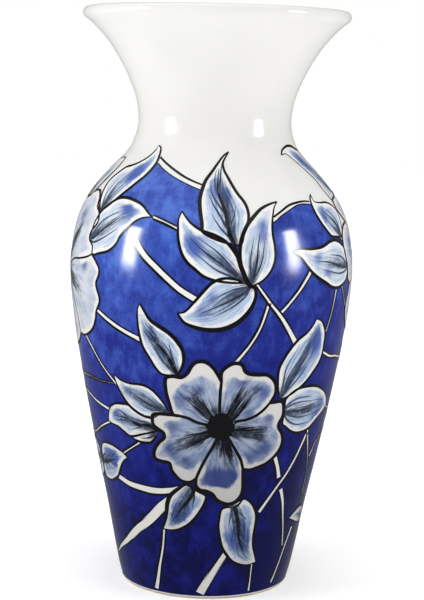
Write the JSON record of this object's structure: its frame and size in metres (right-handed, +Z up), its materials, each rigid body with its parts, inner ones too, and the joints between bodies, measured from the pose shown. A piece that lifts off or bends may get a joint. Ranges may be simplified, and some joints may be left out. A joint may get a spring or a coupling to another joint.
{
  "type": "vase",
  "caption": "Tall baluster vase in hand-painted tin-glazed earthenware, with a flared mouth and cobalt flowers, to hold cut flowers or stand as decoration.",
  "frame": {"origin": "on the vase's axis, in the plane its foot stands on", "axes": "+Z up along the axis of the turned form; -Y towards the front of the painting, where the main flower is; +X to the right of it"},
  "size_m": [0.148, 0.148, 0.3],
  "materials": {
    "bisque_clay": "unglazed, fine matte grain",
    "joint_slip": "unglazed, matte",
    "white_glaze": "glossy opaque tin white",
    "cobalt_glaze": "glossy, hand-brushed cobalt with black outlines and white reserves"
  },
  "bodies": {
    "root": {"foot_ring": "bisque_clay", "foot_slip": "joint_slip", "body_pot": "bisque_clay", "neck_slip": "joint_slip", "neck_wall": "bisque_clay", "rim_roll": "bisque_clay", "body_glaze": "cobalt_glaze", "neck_glaze": "white_glaze", "inside_glaze": "white_glaze"}
  },
  "joints": []
}
